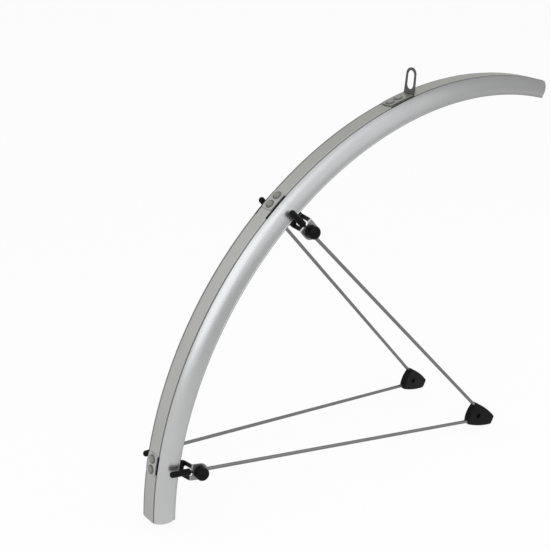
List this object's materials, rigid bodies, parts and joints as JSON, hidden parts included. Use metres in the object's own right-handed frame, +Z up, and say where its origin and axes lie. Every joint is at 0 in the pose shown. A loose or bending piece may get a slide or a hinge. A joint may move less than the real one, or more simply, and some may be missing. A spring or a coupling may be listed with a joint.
{
  "type": "bicycle mudguard",
  "caption": "Front bicycle mudguard: a curved U-section silver blade on a slotted fork bracket, braced by clamped wire stays that meet at black clips on the fork ends.",
  "frame": {"origin": "centre of the slot in the fork bracket, in the middle of the metal", "axes": "+X forward along the bicycle, +Y to its left, +Z up; the wheel axle is parallel to Y"},
  "size_m": [0.4669, 0.1072, 0.3708],
  "materials": {
    "guard": "satin silver",
    "guard_plate": "satin silver",
    "rivet_steel": "dull flat heads with darker rims",
    "dark_steel": "bent sheet, dull zinc",
    "stay_wire": "drawn wire, dull",
    "fastener_steel": "machined",
    "black_plastic": "moulded, satin"
  },
  "bodies": {
    "root": {"guard_blade": "guard", "fork_bracket": "dark_steel", "fork_bracket_rivets": "rivet_steel", "upper_bridge": "dark_steel", "lower_bridge": "dark_steel", "upper_cover_plate": "guard_plate", "lower_cover_plate": "guard_plate", "upper_bridge_rivets": "rivet_steel", "lower_bridge_rivets": "rivet_steel", "left_stay": "stay_wire", "right_stay": "stay_wire", "upper_left_eyebolt": "fastener_steel", "upper_left_nut": "fastener_steel", "upper_left_knob": "black_plastic", "upper_left_end_cap": "black_plastic", "upper_right_eyebolt": "fastener_steel", "upper_right_nut": "fastener_steel", "upper_right_knob": "black_plastic", "upper_right_end_cap": "black_plastic", "lower_left_eyebolt": "fastener_steel", "lower_left_nut": "fastener_steel", "lower_left_knob": "black_plastic", "lower_left_end_cap": "black_plastic", "lower_right_eyebolt": "fastener_steel", "lower_right_nut": "fastener_steel", "lower_right_knob": "black_plastic", "lower_right_end_cap": "black_plastic", "left_clip_cover": "black_plastic", "left_clip_base": "black_plastic", "right_clip_cover": "black_plastic", "right_clip_base": "black_plastic"}
  },
  "joints": []
}
